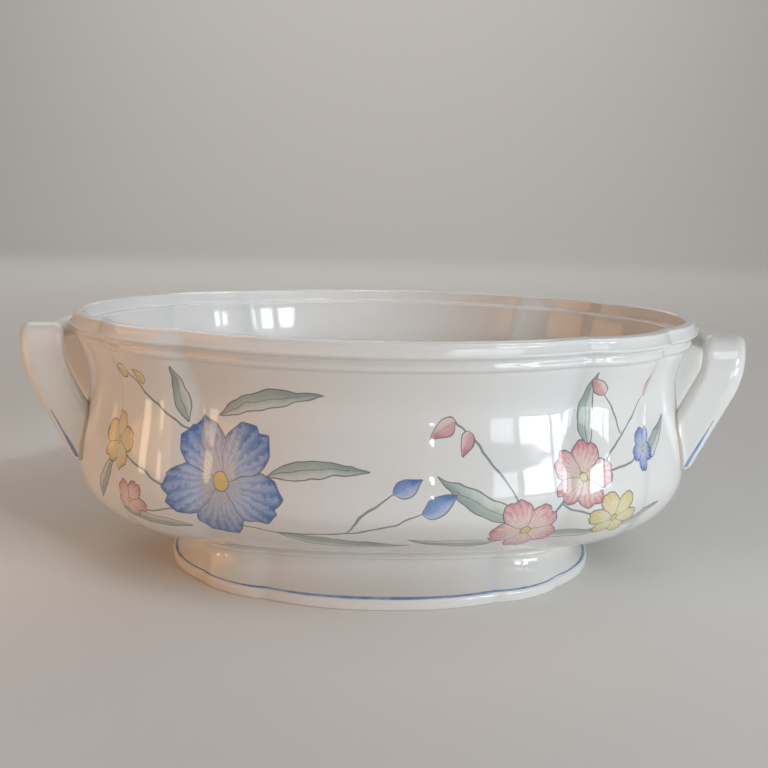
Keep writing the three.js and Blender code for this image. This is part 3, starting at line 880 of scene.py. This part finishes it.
def painted_blossom_tree():
    sheet = NodeSheet("painted_blossom", "ShaderNodeTree")
    under, place = sheet.takes("Under", "Color"), sheet.takes("Place", "Vector")
    centre, turn = sheet.takes("Centre", "Vector"), sheet.takes("Turn")
    size, petals = sheet.takes("Size", default=20.0), sheet.takes("Petals", default=5.0)
    plump, frill = sheet.takes("Plumpness", default=0.4), sheet.takes("Frill", default=0.05)
    notch, heart_share = sheet.takes("Notch", default=0.1), sheet.takes("Heart Share", default=0.13)
    pale, deep = sheet.takes("Pale Colour", "Color"), sheet.takes("Deep Colour", "Color")
    heart = sheet.takes("Heart Colour", "Color", (0.74, 0.6, 0.26, 1))
    ink = sheet.takes("Ink Colour", "Color", (0.15, 0.16, 0.2, 1))
    line, blot = sheet.takes("Line Width", default=0.3), sheet.takes("Blot", default=0.5)
    x, y, _ = sheet.parts(sheet.node("ShaderNodeVectorMath", place, centre, operation="SUBTRACT"))
    away = (x * x + y * y) ** 0.5
    bearing = sheet.math("ARCTAN2", y, x) - turn + math.tau
    sector = math.tau / petals
    number = (bearing / sector).reckon("FLOOR")
    folded = bearing.reckon("FLOORED_MODULO", sector) - sector * 0.5
    along, across = away * folded.reckon("COSINE"), abs(away * folded.reckon("SINE"))

    # The petal is an oval, dented at its tip, with a scalloped edge
    tip = (1.0 - across / (size * 0.3)).reckon("MAXIMUM", 0.0)
    scallop = abs((folded * petals * 2.6 + number).reckon("SINE"))
    reach = along + tip**2.0 * notch * size + scallop * frill * size * (along / size)
    half_long, half_wide = size * 0.46, size * plump
    u, v = (reach - size * 0.54) / half_long, across / half_wide
    round_off = (u * u + v * v) ** 0.5
    steepness = ((u / half_long) ** 2.0 + (v / half_wide) ** 2.0) ** 0.5
    depth = (1.0 - round_off) * round_off / (steepness + 0.0001)
    apart = away * (sector * 0.5 - abs(folded)).reckon("SINE")

    # The wash is deep at the tips and along the edges, and drawn out in streaks along the petal
    streaks = (folded * 31.0 + number * 2.3 + blot * 9.0).reckon("SINE") * 0.22 + blot
    deepness = sheet.ramp(along / size, 0.2, 0.95) * 0.75 + sheet.fade(depth, 0.0, 2.2) * 0.3
    deepness = deepness + (streaks - 0.5) * 0.9
    colour = sheet.over(deepness.reckon("MAXIMUM", 0.0).reckon("MINIMUM", 1.0), pale, deep)
    petal = sheet.ramp(depth, 0.0, 0.2)
    painted = sheet.over(petal, under, colour)
    rim = sheet.fade(abs(depth), line * 0.5, 0.22)
    fold = sheet.fade(apart, line * 0.3, 0.2) * petal
    painted = sheet.over(rim.reckon("MAXIMUM", fold * 0.8) * 0.85, painted, ink)

    # Heart and a ring of stamens
    heart_size = size * heart_share
    painted = sheet.over(sheet.fade(away, heart_size, 0.3), painted, heart)
    painted = sheet.over(sheet.fade(abs(away - heart_size), 0.12, 0.23) * 0.7, painted, ink)
    stamen_turn = (bearing * (STAMENS / math.tau)).reckon("FLOORED_MODULO", 1.0) - 0.5
    beside, out = abs(stamen_turn) * away * (math.tau / STAMENS), abs(away - heart_size * 1.9)
    dot = (beside * beside + out * out) ** 0.5
    dots = sheet.fade(dot, size * 0.018 + 0.1, 0.25)
    sheet.gives("Colour", "Color", sheet.over(dots * 0.8, painted, heart))
    return sheet.tree


painted_blossom = painted_blossom_tree()
print("painted_blossom has", len(painted_blossom.nodes), "nodes")

# %% [markdown]
# ## Where a mark lies on the wall
#
# The wall can't be unrolled flat, so the drawing follows the wall's own map: so many millimetres
# round it, and so many up. The same drawing comes once on the front and once on the back, and
# leaves the two ends bare, where the handles stand. A hand isn't steady, so a slow noise shakes the
# place by a millimetre or two, and a finer one gives the blots in the wash. Both are worked out once
# for all the marks: a noise in each mark would make the material too large to render.

# %% Wall place group
SHAKE = 3.4


def wall_place_tree():
    sheet = NodeSheet("wall_place", "ShaderNodeTree")
    wall_map = sheet.takes("Wall Map", "Vector")
    way_round = sheet.takes("Way Round", default=0.78)
    up_to_belly = sheet.takes("Up To Belly", default=0.117)
    along, up, _ = sheet.parts(wall_map)
    half = way_round * 0.5
    x = along.reckon("FLOORED_MODULO", half) - half * 0.5
    y = up - up_to_belly + BELLY["height"] * MM
    x, y = x / MM, y / MM
    flat, crossed = sheet.point(x, y), sheet.point(y, x, 7.0)
    shake_x, shake_y = ((sheet.speckle(at, 0.11, 1.0) - 0.5) * SHAKE for at in (flat, crossed))
    sheet.gives("Place", "Vector", sheet.point(x + shake_x, y + shake_y))
    sheet.gives("Blot", "Float", sheet.speckle(flat, 0.42, 3.0, 0.6))
    return sheet.tree


def way_round_the_wall(piece):
    layer = piece.data.uv_layers["wall_map"].uv
    numbers = [0.0] * (2 * len(layer))
    layer.foreach_get("vector", numbers)
    return max(numbers[0::2])


wall_place = wall_place_tree()
way_round = way_round_the_wall(bowl)
up_to_belly = sum(
    math.hypot(b[1] - a[1], b[2] - a[2]) for a, b in zip(bowl_rings[:belly_row], bowl_rings[1:])
) * MM
print("the wall is", round(way_round / MM, 1), "mm round, the belly", round(up_to_belly / MM, 1))


# %% The drawing
BLUE = {"Pale Colour": (0.52, 0.59, 0.74, 1), "Deep Colour": (0.11, 0.22, 0.52, 1)}
PINK = {"Pale Colour": (0.82, 0.66, 0.61, 1), "Deep Colour": (0.64, 0.27, 0.28, 1)}
YELLOW = {"Pale Colour": (0.80, 0.75, 0.54, 1), "Deep Colour": (0.72, 0.55, 0.24, 1)}
GREEN = {"Pale Colour": (0.70, 0.71, 0.65, 1), "Deep Colour": (0.32, 0.39, 0.36, 1)}
STEMS = [
    # start, turn, length, width, bend
    ((-58, 40), -12, 70, 1.2, 26), ((-15, 40), 60, 26, 0.9, -8), ((34, 24), 30, 110, 1.2, 14),
    ((74, 50), -28, 28, 0.9, 4), ((92, 62), 0, 28, 0.9, 5), ((105, 76), 105, 20, 0.8, 5),
    ((58, 46), 118, 50, 0.9, 8), ((-84, 52), 168, 40, 0.9, -6), ((-82, 46), 200, 32, 0.9, -3),
    ((-76, 74), 160, 46, 0.9, -8),
]
LEAVES = [
    # start, turn, length, width, bend, fullness
    ((-42, 38), -24, 52, 8.5, 15, 0.9), ((-70, 84), 28, 46, 8.0, -12, 0.9),
    ((-46, 62), 20, 40, 7.0, -10, 0.8), ((-80, 34), 186, 42, 8.0, -6, 0.9),
    ((-84, 80), 118, 23, 6.5, -5, 0.9), ((60, 44), 162, 44, 8.5, -8, 0.9),
    ((46, 31), 184, 36, 7.0, -7, 0.8), ((64, 33), -8, 36, 7.0, 5, 0.8),
    ((104, 34), -2, 32, 6.5, 8, 0.9), ((88, 72), 100, 30, 7.0, -7, 0.8),
    ((124, 62), 30, 25, 6.5, 5, 0.9), ((-128, 58), 232, 24, 6.0, 5, 0.9),
]
BUDS = [
    # start, turn, length, width, bend, fullness, colours
    ((15, 50), 28, 16, 8.5, 1, 0.7, BLUE), ((4, 58), 34, 12, 6.5, -1, 0.7, BLUE),
    ((122, 91), 44, 11, 6.0, 1, 0.75, PINK), ((96, 94), 140, 10, 5.5, 1, 0.75, PINK),
    ((28, 86), 208, 12, 7.0, 1, 0.7, PINK), ((34, 82), 246, 10, 5.5, 1, 0.7, PINK),
    ((-116, 97), 176, 11, 6.0, 1, 0.7, YELLOW), ((-106, 93), 132, 9, 5.0, 1, 0.7, YELLOW),
]
BLOSSOMS = [
    # centre, size, turn, petals, plumpness, frill, notch, colours
    ((-112, 43), 11, 24, 5, 0.38, 0.03, 0.14, PINK), ((-124, 67), 13, 50, 5, 0.38, 0.03, 0.12, YELLOW),
    ((-66, 58), 29, 18, 5, 0.36, 0.05, 0.10, BLUE), ((100, 41), 14, 22, 6, 0.32, 0.03, 0.06, YELLOW),
    ((121, 68), 10, 12, 5, 0.38, 0.03, 0.10, BLUE), ((84, 61), 15, 40, 5, 0.38, 0.03, 0.14, PINK),
    ((58, 39), 17, 6, 5, 0.39, 0.03, 0.12, PINK),
]


def put(tree, group, **values):
    """A group in a material, with its inputs linked or set; gives its outputs."""
    node = tree.nodes.new("ShaderNodeGroup")
    node.node_tree = group
    for key, value in values.items():
        socket = node.inputs[key.replace("_", " ")]
        if isinstance(value, bpy.types.NodeSocket):
            tree.links.new(value, socket)
        else:
            socket.default_value = value
    return node.outputs


def lay_drawing(tree, colour, place, blot):
    """Every mark in its turn, each over the ones before it."""
    here = {"Place": place, "Blot": blot}
    for start, turn, length, width, bend in STEMS:
        colour = put(
            tree, fine_stroke, Under=colour, Place=place, Start=(*start, 0),
            Turn=math.radians(turn), Length=length, Width=width, Bend=bend,
        )["Colour"]
    leaves = [(*leaf, GREEN) for leaf in LEAVES] + BUDS
    for start, turn, length, width, bend, fullness, colours in leaves:
        colour = put(
            tree, painted_leaf, Under=colour, Start=(*start, 0), Turn=math.radians(turn),
            Length=length, Width=width, Bend=bend, Fullness=fullness,
            Vein=0.6 if colours is GREEN else 0.25, **here, **colours,
        )["Colour"]
    for centre, size, turn, petals, plump, frill, notch, colours in BLOSSOMS:
        colour = put(
            tree, painted_blossom, Under=colour, Centre=(*centre, 0), Size=size,
            Turn=math.radians(turn), Petals=petals, Plumpness=plump, Frill=frill, Notch=notch,
            **here, **colours,
        )["Colour"]
    return colour


# %% [markdown]
# ## The blue lines
#
# A decorator holds a loaded brush still and turns the piece under it, so a line swells and thins
# and fades a little where the brush runs dry. The foot has one all the way round, just above its
# shoulder. Each leg of a handle has a short one, thin at its upper end and full at the root.

# %% Brushed line group
FOOT_LINE = {"up": 6.7, "width": 2.3}
LEG_LINE_INSET = 2.3


def brushed_line_tree():
    sheet = NodeSheet("brushed_line", "ShaderNodeTree")
    under, place = sheet.takes("Under", "Color"), sheet.takes("Place", "Vector")
    across, width = sheet.takes("Across"), sheet.takes("Width", default=1.0)
    paint = sheet.takes("Paint Colour", "Color", (0.13, 0.26, 0.56, 1))
    load = sheet.speckle(place, 55.0, 2.0)
    half = width * (0.32 + load * 0.4)
    edge = sheet.speckle(place, 1400.0, 2.0) * 0.16
    mask = sheet.fade(abs(across) + edge, half, 0.22)
    dryness = sheet.ramp(sheet.speckle(place, 130.0, 3.0, 0.6), 0.25, 0.7)
    sheet.gives("Colour", "Color", sheet.over(mask * (0.62 + dryness * 0.35), under, paint))
    return sheet.tree


def leg_line_tree():
    """Where the short line on a handle's leg is, for the brush."""
    sheet = NodeSheet("leg_line", "ShaderNodeTree")
    side, drop, offset = sheet.parts(sheet.takes("Strap Place", "Vector"))
    half_span, middle = sheet.takes("Half Span"), sheet.takes("Line Offset")
    starts, ends = sheet.takes("Starts", default=0.037), sheet.takes("Ends", default=0.0635)
    face_depth = sheet.takes("Face Depth", default=0.0016)
    on_face = (abs(side) > half_span - face_depth) * (drop > starts) * (drop < ends)
    sheet.gives("Across", "Float", (offset - middle) * 1000.0 + (1.0 - on_face) * 100.0)
    sheet.gives("Width", "Float", sheet.ramp(drop, starts, ends) * 1.3 + 0.35)
    return sheet.tree


def painted_joint_shade_tree():
    """Painted shade: a brown band on the strap where it comes within a fraction of a millimetre of the
    wall.
    """
    sheet = NodeSheet("painted_joint_shade", "ShaderNodeTree")
    under, place = sheet.takes("Under", "Color"), sheet.takes("Place", "Vector")
    gap = sheet.takes("Gap")
    # The brown given as Clay Colour here is the colour of the painted shade in the joint
    clay = sheet.takes("Clay Colour", "Color", (0.42, 0.33, 0.24, 1))
    # A noise makes the edge of the painted shade ragged
    ragged_shade_edge = sheet.speckle(place, 130.0, 3.0) * 0.0016
    mask = sheet.fade(gap - ragged_shade_edge, 0.0001, 0.0006)
    sheet.gives("Colour", "Color", sheet.over(mask * 0.6, under, clay))
    return sheet.tree


brushed_line, leg_line, painted_joint_shade = brushed_line_tree(), leg_line_tree(), painted_joint_shade_tree()


# %% The three materials
def known(tree, name, output="Fac"):
    """What Geometry Nodes stored on the piece under this name."""
    stored = tree.nodes.new("ShaderNodeAttribute")
    stored.attribute_name = name
    return stored.outputs[output]


def own_map(tree, name):
    stored = tree.nodes.new("ShaderNodeUVMap")
    stored.uv_map = name
    return stored.outputs["UV"]


def glazed(material, bump_strength, clay, valley_name="valley"):
    """Glaze skin in a material; gives its tree, shader, object place and the glaze's colour."""
    material.use_nodes = True
    tree = material.node_tree
    shader = tree.nodes["Principled BSDF"]
    shader.inputs["IOR"].default_value = 1.52
    place = tree.nodes.new("ShaderNodeTexCoord").outputs["Object"]
    valley = known(tree, valley_name) if valley_name else 0.0
    skin = put(tree, glaze_skin, Place=place, Valley=valley, Clay_Colour=clay)
    bump = tree.nodes.new("ShaderNodeBump")
    bump.inputs["Strength"].default_value = bump_strength
    bump.inputs["Distance"].default_value = 0.0006
    tree.links.new(skin["Height"], bump.inputs["Height"])
    tree.links.new(bump.outputs["Normal"], shader.inputs["Normal"])
    tree.links.new(skin["Roughness"], shader.inputs["Roughness"])
    return tree, shader, place, skin["Colour"]


tree, shader, place, colour = glazed(bowl_glaze, 0.28, (0.80, 0.79, 0.765, 1))
where = put(
    tree, wall_place, Wall_Map=own_map(tree, "wall_map"), Way_Round=way_round,
    Up_To_Belly=up_to_belly,
)
colour = lay_drawing(tree, colour, where["Place"], where["Blot"])
tree.links.new(colour, shader.inputs["Base Color"])
print("the drawing has", len(STEMS), "stems,", len(LEAVES), "leaves,", len(BLOSSOMS), "blossoms")

tree, shader, place, colour = glazed(foot_glaze, 0.35, (0.80, 0.785, 0.755, 1))
up_foot = tree.nodes.new("ShaderNodeSeparateXYZ")
tree.links.new(own_map(tree, "wall_map"), up_foot.inputs[0])
from_line = tree.nodes.new("ShaderNodeMath")
from_line.operation = "MULTIPLY_ADD"
tree.links.new(up_foot.outputs["Y"], from_line.inputs[0])
from_line.inputs[1].default_value = 1000.0
from_line.inputs[2].default_value = -FOOT_LINE["up"]
colour = put(
    tree, brushed_line, Under=colour, Place=place, Across=from_line.outputs[0],
    Width=FOOT_LINE["width"],
)["Colour"]
tree.links.new(colour, shader.inputs["Base Color"])

tree, shader, place, colour = glazed(handle_glaze, 0.35, (0.80, 0.78, 0.74, 1), None)
leg = put(
    tree, leg_line, Strap_Place=known(tree, "strap_place", "Vector"),
    Half_Span=HANDLE["span"] / 2 * MM, Line_Offset=(STRAP["width"] / 2 - LEG_LINE_INSET) * MM,
)
colour = put(
    tree, brushed_line, Under=colour, Place=place, Across=leg["Across"], Width=leg["Width"]
)["Colour"]
# Painted shade where each handle meets the bowl
colour = put(tree, painted_joint_shade, Under=colour, Place=place, Gap=known(tree, "joint_gap"))["Colour"]
tree.links.new(colour, shader.inputs["Base Color"])

# %% Hand the pieces over
replaced = {
    bowl: "bowl", foot: "foot_ring",
    handles["right"]: "handle_right", handles["left"]: "handle_left",
}
for piece, node in replaced.items():
    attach(piece, "root")
    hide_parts(node)
